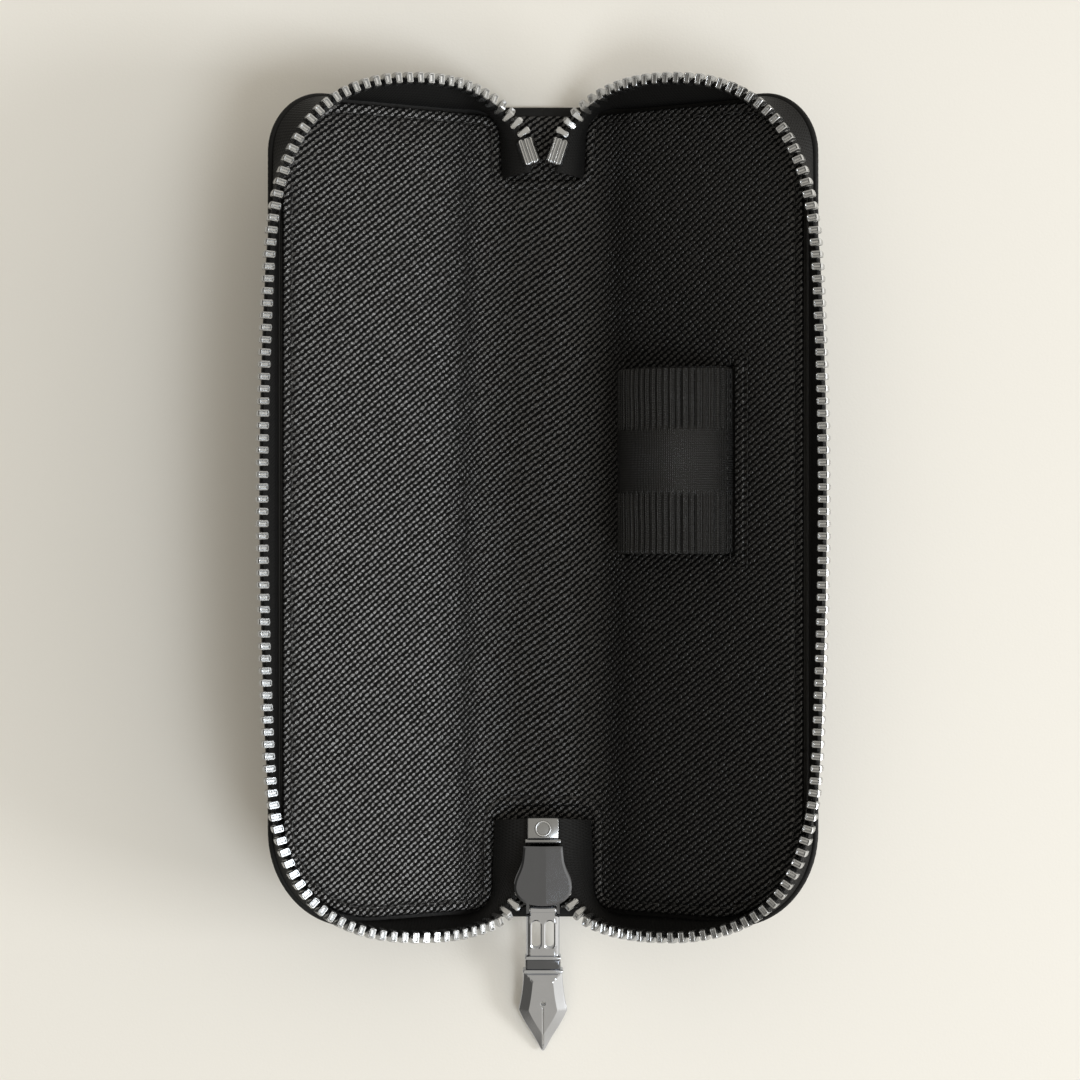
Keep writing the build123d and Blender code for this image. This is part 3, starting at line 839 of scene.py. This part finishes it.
def make_tape(side, looks):
    """Woven tape from the panel's edge up to the teeth, with a corded bead that they clamp."""
    distances = np.arange(-TAPE_TAILS[0], RIM_LENGTH + TAPE_TAILS[1], TAPE_STEP)
    at, along, up, _ = rim_frames(distances)
    foot = foot_places(distances)
    root = at - up * 1.5
    rise = root - foot
    out = unit(np.cross(along, rise))
    near_ends = np.maximum(1 - distances / TOP_RUN, 1 - (RIM_LENGTH - distances) / BOTTOM_RUN)
    bulge = 0.35 + 0.95 * np.clip(near_ends, 0, 1)
    middle = foot + rise * 0.45 + out * bulge[:, None]
    shares = np.linspace(0, 1, 8)
    stations = [foot * (1 - t) ** 2 + middle * (2 * t * (1 - t)) + root * t**2 for t in shares]
    stations += [at - up * drop for drop in (1.15, 0.85, 0.55)]
    halves = [TAPE / 2] * 7 + [0.3, 0.42, 0.42, 0.24]
    width = np.linalg.norm(rise, axis=1).mean() + 1.0
    cross = [(p, h, n) for p, h, n in zip(stations, halves, np.linspace(0, width, len(stations)))]
    ring = [(p + out * h, v) for p, h, v in cross] + [(p - out * h, v) for p, h, v in cross[::-1]]
    count = len(ring)
    vertices = np.stack([p for p, _ in ring], 1).reshape(-1, 3) * (side, 1, 1)
    marks = np.array([(d, v) for d in distances for _, v in ring])
    faces = link_rings(len(distances), count)
    ends = NAMES[side]
    made = outward(new_object(f"tape_{ends}", vertices, faces, looks["tape"], flat=marks, sharp=50))
    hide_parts(f"zip_tape_{ends}", f"tape_end_top_{ends}", f"tape_end_bottom_{ends}")
    bend_with_half(made, side, *RIM_EASE)


def tooth_shape():
    """One tooth standing on its rim point: two jaws, a wider head and a dimple in its end."""
    half = [(0.36, -1.35), (0.75, -1.4), (1.12, -1.28), (1.2, -0.95), (1.2, -0.1), (1.19, 0.75),
            (1.12, 1.2), (0.92, 1.4)]
    throat = [(-0.36, -0.5), (-0.2, -0.3), (0.2, -0.3), (0.36, -0.5)]
    outline = half + [(-u, v) for u, v in half[::-1]] + throat
    jaw, head, neck = 0.46, 0.63, -0.35     # half lengths of jaws and head, and where they meet
    shape = bmesh.new()
    corners = []
    for end in (-1, 1):
        reaches = [jaw if v < neck else head for _, v in outline]
        corners.append([shape.verts.new((end * reach, u, v)) for reach, (u, v) in zip(reaches, outline)])
    shape.faces.new(corners[0][::-1])
    shape.faces.new(corners[1])
    count = len(outline)
    for i in range(count):
        k = (i + 1) % count
        shape.faces.new((corners[0][i], corners[0][k], corners[1][k], corners[1][i]))
    bmesh.ops.recalc_face_normals(shape, faces=shape.faces)
    rim = [e for e in shape.edges if any(len(f.verts) > 4 for f in e.link_faces)]
    bmesh.ops.bevel(shape, geom=rim, offset=0.17, segments=3, affect="EDGES", clamp_overlap=True)
    tops = [f for f in shape.faces if f.normal.z > 0.99 and f.calc_center_median().z > 1.3]
    end = [f for f in tops if f.calc_area() > 0.5]
    for thickness, depth in ((0.09, 0.0), (0.10, -0.10), (0.14, -0.20), (0.10, -0.06)):
        bmesh.ops.inset_individual(shape, faces=end, thickness=thickness, depth=depth)
    shape.verts.index_update()
    vertices = np.array([tuple(v.co) for v in shape.verts])
    faces = [tuple(v.index for v in f.verts) for f in shape.faces]
    shape.free()
    return vertices, faces


def make_chain(side, looks):
    """All the teeth of one side, each a little out of true."""
    vertices, faces = tooth_shape()
    if side < 0:
        faces = [face[::-1] for face in faces]
    distances = np.arange(FIRST_TOOTH, RIM_LENGTH - LAST_GAP, TOOTH_PITCH)
    row = Pile()
    for at, along, up, across in zip(*rim_frames(distances)):
        nod = 1 + random.uniform(-0.015, 0.015)
        turn = random.uniform(-0.03, 0.03)
        thick = vertices[:, :1] * (along + across * turn)
        wide = vertices[:, 1:2] * (across - along * turn) * nod
        row.add((at + thick + wide + vertices[:, 2:] * up) * (side, 1, 1), faces)
    ends = NAMES[side]
    made = row.make(f"chain_{ends}", looks["teeth"], sharp=32)
    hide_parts(f"teeth_{ends}", f"chain_end_top_{ends}", f"chain_end_bottom_{ends}")
    bend_with_half(made, side, *RIM_EASE)


def rounded_box(size, radius, segments=3):
    """Vertices and faces of a box with rounded edges, centred on the origin."""
    shape = bmesh.new()
    bmesh.ops.create_cube(shape, size=1)
    for vertex in shape.verts:
        vertex.co = Vector([c * s for c, s in zip(vertex.co, size)])
    bmesh.ops.bevel(
        shape, geom=shape.edges, offset=radius, segments=segments, affect="EDGES", profile=0.5)
    shape.verts.index_update()
    vertices = np.array([tuple(v.co) for v in shape.verts])
    faces = [tuple(v.index for v in f.verts) for f in shape.faces]
    shape.free()
    return vertices, faces


def make_top_stop(side, looks):
    """Bar with lengthwise flutes, clamped over the tape above the last tooth."""
    steps = np.linspace(-STOP_HALF, STOP_HALF, 61)
    flute = 0.24 * np.cos(steps * math.tau / FLUTE_PITCH) - 0.6 * (np.abs(steps) / STOP_HALF) ** 10
    profile = [(1.25 + f, v) for v, f in zip(steps, flute)]
    profile += [(-u, v) for u, v in profile[::-1]]
    end = [(2.1, 1.0), (2.4, 0.97), (2.62, 0.86), (2.7, 0.7)]
    stations = [(-place, share) for place, share in end[::-1]] + end
    (at,), (along,), (up,), (across,) = rim_frames(STOP_PLACE)
    at = at - up * 0.45
    along = unit(along - up * 0.12)
    up = unit(up - along * (up @ along))
    vertices = []
    for place, share in stations:
        vertices += [at + along * place + across * u * share + up * v * share for u, v in profile]
    faces = link_rings(len(stations), len(profile))
    ends = NAMES[side]
    vertices = np.array(vertices) * (side, 1, 1)
    made = outward(new_object(f"stop_{ends}", vertices, faces, looks["stop"], sharp=35))
    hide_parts(f"top_stop_{ends}")
    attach(made, frame["nodes"][f"top_stop_{ends}"]["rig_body"])


def make_bottom_stop(looks):
    """Box on the ends of both chains, with a ring sunk in its lid and a step behind it."""
    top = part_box("bottom_stop")[1].z / MM
    box = Pile()
    for y, size, radius, drop in ((BOX_Y, BOX_SIZE, 0.42, 0), (STEP_Y, STEP_SIZE, 0.25, 0.6)):
        vertices, faces = rounded_box(size, radius)
        box.add(vertices + (0, y, top - size[2] / 2 - drop), faces)
    made = box.make("chain_box", looks["box"], sharp=40)
    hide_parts("bottom_stop")
    angles = np.linspace(0, math.tau, 49)
    lid = np.full(len(angles), top + 0.02)
    path = np.stack([BOX_RING * np.cos(angles), BOX_Y + BOX_RING * np.sin(angles), lid], 1)
    ring = Pile()
    ring.add(*tube(path, 0.24, sides=12, close_ends=False))
    trim = ring.make("chain_box_ring", looks["teeth"])
    body = frame["nodes"]["bottom_stop"]["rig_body"]
    for piece, slot in ((made, "dark_polish"), (trim, "zip_teeth")):
        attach(piece, body)


# ==== Slider and puller ====
def raised_plate(shape, top, bottom):
    """Vertices and faces of a plate with its own height at every point, and upright sides."""
    flat, triangles, _ = shape
    count = len(flat)
    vertices = np.vstack([np.column_stack([flat, top]), np.column_stack([flat, bottom])])
    walls = [(b, a, a + count, b + count) for a, b in open_edges(triangles)]
    faces = triangles.tolist() + (triangles[:, ::-1] + count).tolist() + walls
    return vertices, faces


def bell_plan():
    """Plan of the slider's cap: narrow at the back, flaring to a round mouth."""
    flare = [(3.9, -67.3), (4.02, -68.5), (4.12, -69.6), (4.4, -71.2), (5.0, -72.8), (5.55, -74.2),
             (5.8, -75.6)]
    mouth = [(5.65, -76.5), (5.2, -77.4), (4.4, -78.2), (3.1, -78.85), (1.6, -79.15), (0, -79.25)]
    right = [tuple(p) for p in curve(flare, 24)] + [tuple(p) for p in curve([flare[-1]] + mouth, 24)][1:]
    return right + [(-x, y) for x, y in right[::-1]][1:]


def paint(node, material):
    """Gives a CAD node that is kept its new material."""
    made = frame["nodes"][node]
    made.data.materials.clear()
    made.data.materials.append(material)
    return made


def make_slider(looks):
    """The cap, sloping to both sides from its middle, and finer edges on the CAD's own parts."""
    folds = [[(x, -67.5), (x, -79.0)] for x in (-CAP_RIDGE, CAP_RIDGE)]
    shape = cut([bell_plan()], 0.42, 0.28, (0.1, 0.22, 0.42, 0.5), lines=folds)
    flat, _, gap = shape
    roof = CAP_TOP - 0.9 * np.clip(np.abs(flat[:, 0]) - CAP_RIDGE, 0, None) / 5.2
    rim = np.clip(0.42 - gap, 0, None)
    vertices, faces = raised_plate(shape, roof - 0.35 * rim, np.full(len(flat), CAP_Z))
    # painted reflection: the cap's dark grey stands in for a dark room seen in polished metal
    cap = outward(new_object("slider_bell", vertices, faces, looks["dark_metal"], sharp=7))
    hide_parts("slider_cap")
    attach(cap, "slider")
    # the slider body gets the same dark grey: painted shade under the cap
    parts = (("slider_body", "dark_metal", "slider_metal"), ("lock_spring", "steel", "steel"),
             ("puller_pin", "steel", "steel"))
    for node, look, slot in parts:
        made = paint(node, looks[look])
        bevel = made.modifiers.new("edges", "BEVEL")
        bevel.width = 0.08 * MM
        bevel.segments = 2
        bevel.limit_method = "ANGLE"


def on_puller(vertices):
    """From the puller's flat drawing, its pivot at the origin, to where it hangs."""
    x, y, z = np.array(vertices).T
    cos, sin = math.cos(PULLER_DROP), math.sin(PULLER_DROP)
    return np.stack([x, PIVOT.y + y * cos - z * sin, PIVOT.z + y * sin + z * cos], 1)


def pull_piece(name, parts, look, node, sharp=24):
    """One piece of the puller from parts on its flat drawing."""
    pile = Pile()
    for vertices, faces in parts:
        pile.add(on_puller(vertices), faces)
    made = outward(pile.make(name, look, sharp=sharp))
    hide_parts(node)
    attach(made, "puller")


def slot_loop(x, y, width, length):
    """Outline of a slot with round ends, its length along y."""
    r = width / 2
    far = length / 2 - r
    return arc((x, y + far), r, 0, 180, 12) + arc((x, y - far), r, 180, 360, 12)


def make_shank(looks):
    """Slotted link: bevelled along both sides and round each slot, with an eye on the pin."""
    outline = [(-2.66, -0.3), (-2.66, -0.98), (-3.35, -1.05), (-3.35, -9.8),
               (3.35, -9.8), (3.35, -1.05), (2.66, -0.98), (2.66, -0.3)]
    slots = [slot_loop(side * 1.36, -5.1, 1.75, 5.9) for side in (-1, 1)]
    shape = cut([outline] + slots, 0.5, 0.3, (0.14, 0.26, 0.34))
    flat, _, gap = shape
    crown = 0.82 - 0.60 * np.clip(np.abs(flat[:, 0]) - 2.50, 0, None)
    drop = 0.75 * np.clip(0.26 - gap, 0, None)
    link = raised_plate(shape, crown - drop, drop - crown)
    turn = np.radians(np.linspace(25, 335, 22))
    profile = [(0.8 * math.cos(a), 0.8 * math.sin(a)) for a in turn + math.pi]
    profile += [(-1.7, -0.6), (-1.7, 0.6)]
    stations = [(-2.6, 0.93), (-2.5, 1.0), (2.5, 1.0), (2.6, 0.93)]
    vertices = [(x, y * k, z * k) for x, k in stations for y, z in profile]
    eye = vertices, link_rings(len(stations), len(profile))
    pull_piece("pull_shank", [link, eye], looks["puller"], "puller_shank")


def make_collar(looks):
    """Plain band between two raised rings."""
    rings = []
    for y, size in ((-10.05, (7.3, 0.8, 2.3)), (-12.95, (8.2, 0.8, 2.3))):
        vertices, faces = rounded_box(size, 0.36, 4)
        rings.append((vertices + (0, y, 0), faces))
    pull_piece("pull_collar", rings, looks["puller"], "puller_collar", sharp=50)
    vertices, faces = rounded_box((7.1, 2.4, 1.85), 0.5, 4)
    band = [(vertices + (0, -11.5, 0), faces)]
    pull_piece("pull_band", band, looks["dark_metal"], "puller_collar", sharp=50)


def make_nib(looks):
    """Blade like a writing nib: flat down its middle, bevelled sides, a vent hole and a slit."""
    shoulder, tip = (4.93, -21.6), (0, -30.6)
    side = curve([(3.9, -13.3), (4.03, -15.4), (4.25, -17.6), (4.55, -19.6), shoulder], 26)
    point = curve([shoulder, (4.05, -23.6), (2.95, -25.6), (1.6, -27.9), (0.35, -30.35)], 30)[1:]
    right = [tuple(p) for p in side] + [tuple(p) for p in point] + [tip]
    outline = right + [(-x, y) for x, y in right[::-1]][1:]
    vent = arc((0, -19.9), 0.5, 0, 360, 20)[:-1]
    slit = [(-0.09, -20.7), (0.09, -20.7), (0.07, -29.3), (-0.07, -29.3)]
    bevel = inset_line(outline, NIB_BEVEL, 0.25)
    bevels = [bevel, bevel * (-1, 1)]
    shape = cut([outline, vent, slit], 0.5, 0.25, (0.1, 0.2, 0.45, 0.9, 1.4), lines=bevels)
    flat, _, gap = shape
    from_edge = edge_distance(flat, [spread(outline, 0.25)])
    height = 0.8 - 0.58 * np.clip(NIB_BEVEL - from_edge, 0, None) - 0.5 * np.clip(0.12 - gap, 0, None)
    under = 0.75 - 0.5 * np.clip(0.3 - gap, 0, None)
    blade = raised_plate(shape, height, -under)
    pull_piece("pull_nib", [blade], looks["puller"], "puller_nib", sharp=12)


# ==== Pen loop ====
def make_pen_loop(looks):
    """Elastic band bulging out of two slits: ribbed down both sides, plain down the middle."""
    foot = COVER + UNDERLAY + 0.85
    low, high = PANEL_DEPTH + 1.5, PANEL_DEPTH + LOOP_RISE
    middle, reach = (LOOP_START + LOOP_END) / 2, (LOOP_END - LOOP_START) / 2
    angles = np.linspace(math.pi, 0, 120)
    arch = np.column_stack([middle + reach * np.cos(angles), low + (high - low) * np.sin(angles)])
    line = spread(np.vstack([[(LOOP_START, foot)], arch, [(LOOP_END, foot)]]), 0.2, closed=False)
    run = np.concatenate([[0], np.cumsum(np.linalg.norm(np.diff(line, axis=0), axis=1))])
    ahead = unit(np.gradient(line, axis=0))
    out = np.column_stack([-ahead[:, 1], ahead[:, 0]])
    across = np.arange(-LOOP_LENGTH / 2, LOOP_LENGTH / 2 + 0.01, 0.41)
    side_stripe = ease(np.abs(across), LOOP_CENTRE_STRIPE / 2 - 0.15, LOOP_CENTRE_STRIPE / 2 + 0.35)
    edge = rolled(LOOP_LENGTH / 2 - np.abs(across), 0.5)
    rib = np.abs(np.cos(math.pi * run / RIB_PITCH))
    outer, inner = [], []
    for y, stripe, thick in zip(across, side_stripe, edge):
        lift = (RIB_HEIGHT * rib - 0.39) * stripe - 0.55 * (1 - thick) - 0.04
        wave = 0.10 * math.sin(y * 0.55) * np.sin(math.pi * run / run[-1])
        outer.append(line + out * (lift + wave)[:, None])
        inner.append(line - out * (LOOP_THICK - 0.5 * (1 - thick) + 0.1 * rib * stripe - wave)[:, None])
    rows = len(across)
    ring = np.concatenate([np.array(outer), np.array(inner)[:, ::-1]], 1)
    count = ring.shape[1]
    flat = ring.reshape(-1, 2)
    ys = np.repeat(across, count) + LOOP_MIDDLE
    vertices = on_wall(np.column_stack([flat[:, 0] + PANEL_START, ys]), flat[:, 1], 1)
    marks = np.column_stack([np.tile(np.concatenate([run, run[::-1]]), rows), ys])
    faces = link_rings(rows, count, ends=False)
    half = len(run)
    for first in (0, (rows - 1) * count):
        for i in range(half - 1):
            a, b = first + i, first + i + 1
            faces.append((a, b, first + count - 2 - i, first + count - 1 - i))
    band = outward(new_object("elastic_loop", vertices, faces, looks["elastic"], flat=marks, sharp=60))
    row = Pile()
    y_line = np.arange(-LOOP_LENGTH / 2 + 0.8, LOOP_LENGTH / 2 - 0.8, 0.4) + LOOP_MIDDLE
    seat = np.column_stack([np.full(len(y_line), PANEL_START + LOOP_END - 0.22), y_line])
    places = on_wall(seat, np.full(len(seat), low + 0.55), 1)
    normals = np.tile((math.cos(TILT), 0, math.sin(TILT)), (len(seat), 1))
    stitch_row(row, places, normals, *LOOP_STITCH)
    stitches = row.make("loop_stitches", looks["thread"])
    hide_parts("pen_loop")
    for piece in (band, stitches):
        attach(piece, "right_half")


def make_binding(looks):
    """Raised leather strip sewn beside the loop's outer slit."""
    low, high = [PANEL_START + LOOP_END + reach for reach in STRIP_REACH]
    half = LOOP_LENGTH / 2 + STRIP_OVERHANG
    outline = [(low, LOOP_MIDDLE - half), (high, LOOP_MIDDLE - half), (high, LOOP_MIDDLE + half),
               (low, LOOP_MIDDLE + half)]
    shape = cut([outline], 0.6, 0.35, (0.1, 0.25, 0.45, 0.7))
    gap = shape[2]
    share = rolled(gap, 0.7)
    crease = 0.16 * np.exp(-(((gap - STRIP_SEAM) / 0.16) ** 2))
    upper, lower = PANEL_DEPTH + 0.12 + 0.78 * share - crease, np.full(len(gap), PANEL_DEPTH)
    made = closed_sheet("loop_strip", shape, upper, lower, (looks["lining"],), 1)
    line = inset_line(outline, STRIP_SEAM, 0.4)
    stitches = seam("loop_strip_stitches", line, 4.24, 1, STRIP_STITCH, 1, looks["thread"])
    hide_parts("loop_binding")
    for piece in (made, stitches):
        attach(piece, "right_half")


# ==== Floor, lights, camera ====
def make_floor():
    """Plain paper, warm white."""
    graph = Graph("paper_floor", Specular_IOR_Level=0.25)
    place = graph.body_place()
    mottle = graph.noise(place, 0.01, 3.0)
    warm = tuple(c * 0.97 for c in FLOOR_COLOUR[:3]) + (1,)
    graph.colour(graph.blend(mottle, warm, FLOOR_COLOUR))
    graph.rough(graph.span(graph.noise(place, 0.5), 0.3, 0.7, 0.7, 0.85))
    graph.relief(graph.noise(place, 2.0), 0.02)
    signs = ((-1, -1), (1, -1), (1, 1), (-1, 1))
    corners = [(x * FLOOR_REACH, y * FLOOR_REACH, -FLOOR_DROP) for x, y in signs]
    new_object("floor", corners, [(0, 1, 2, 3)], graph.material)


def area_light(name, place, size, power, colour):
    """A rectangular light, in metres and watts, that faces the case."""
    light = bpy.data.lights.new(name, "AREA")
    light.shape = "RECTANGLE"
    light.size, light.size_y = size
    light.energy = power
    light.color = colour
    made = bpy.data.objects.new(name, light)
    made.location = place
    made.rotation_euler = (LIGHT_AIM - Vector(place)).to_track_quat("-Z", "Y").to_euler()
    bpy.context.scene.collection.objects.link(made)


def make_lights():
    """A window at the right, a low lamp further round, and a warm room that is lighter at the right."""
    area_light("window", (0.75, -0.75, 1.70), (0.70, 0.70), 13.0, (0.88, 0.94, 1.0))
    area_light("low_lamp", (1.30, -0.25, 0.64), (0.50, 0.30), 10.0, (0.96, 0.98, 1.0))
    world = bpy.data.worlds.new("room")
    bpy.context.scene.world = world
    world.use_nodes = True
    tree = world.node_tree
    shade = tree.nodes["Background"]
    kinds = ("ShaderNodeTexCoord", "ShaderNodeSeparateXYZ", "ShaderNodeMath", "ShaderNodeValToRGB")
    place, split, shift, ramp = [tree.nodes.new(kind) for kind in kinds]
    shift.operation = "MULTIPLY_ADD"
    shift.inputs[1].default_value = 0.5
    shift.inputs[2].default_value = 0.5
    tree.links.new(place.outputs["Generated"], split.inputs[0])
    tree.links.new(split.outputs["X"], shift.inputs[0])
    tree.links.new(shift.outputs[0], ramp.inputs[0])
    tree.links.new(ramp.outputs[0], shade.inputs["Color"])
    points = ramp.color_ramp.elements
    points[0].position, points[0].color = 0.08, (0.10, 0.094, 0.083, 1)
    points[1].position, points[1].color = 0.94, (1.0, 0.96, 0.88, 1)
    for position, level in ((0.16, 0.14), (0.27, 0.47), (0.50, 0.46), (0.76, 0.52)):
        points.new(position).color = (level, level * 0.94, level * 0.83, 1)
    shade.inputs["Strength"].default_value = 1.45


def make_camera():
    """Straight down over the case."""
    camera = bpy.data.cameras.new("overhead")
    camera.lens = CAMERA_LENS
    camera.sensor_width = 36
    camera.clip_end = 10
    made = bpy.data.objects.new("overhead", camera)
    made.location = CAMERA_PLACE
    bpy.context.scene.collection.objects.link(made)
    bpy.context.scene.camera = made


def main():
    greys = (BOARD_DARK, BOARD_GREY)
    paint_blacks = (GROOVE_SHADE_AND_DEEP_BLACK, EDGE_BLACK)
    looks = {
        "cover": leather("cover_leather"),
        "lining": leather("lining_leather"),
        "edge": grained("leather_edge", 0.22, (2.4, 4.0), paint_blacks, (0.5, 0.68), 0.06),
        "foam": grained("foam_grey", 0.3, (1.6, 5.0, 0.7), greys, (0.75, 0.95), 0.05, FIBRES),
        "board": grained("fibre_board", 0.3, (1.6, 5.0, 0.7), greys, (0.75, 0.95), 0.05, FIBRES),
        "tape": woven("tape_weave", (60, -60), (0.6, 0.6), 0.08, (0.5, 0.66), EDGE_BLACK, 0.25),
        "elastic": woven("elastic_weave", (0, 90), (0.46, 0.40), 0.16, (0.26, 0.42), ELASTIC_BLACK, 0.5),
        "teeth": metal("teeth_silver", SILVER, (0.20, 0.30), 0.012),
        "stop": metal("stop_silver", SILVER, (0.16, 0.24)),
        "dark_metal": metal("dark_polish", DARK_REFLECTION_AND_SHADE_GREY, (0.06, 0.075), stretch=SOFT_BRUSHING),
        "box": metal("box_grey", BOX_GREY, (0.14, 0.22)),
        "steel": metal("steel_grey", STEEL, (0.25, 0.4), 0.012),
        "puller": metal("puller_silver", PULLER_SILVER, (0.07, 0.11)),
        "thread": grained("black_thread", 0.5, (6.0,), (THREAD_DARK, THREAD_BLACK), (0.4, 0.6), 0.05),
    }
    for side in NAMES:
        make_cover(side, looks)
        make_lining(side, looks)
        make_underlay(side, looks)
        make_pad(side, looks)
        make_tape(side, looks)
        make_chain(side, looks)
        make_top_stop(side, looks)
    make_bottom_stop(looks)
    make_slider(looks)
    make_shank(looks)
    make_collar(looks)
    make_nib(looks)
    make_pen_loop(looks)
    make_binding(looks)
    for ends in NAMES.values():
        paint(f"board_{ends}", looks["board"])
    make_floor()
    make_lights()
    make_camera()
    bpy.context.scene.view_settings.view_transform = "Standard"


main()
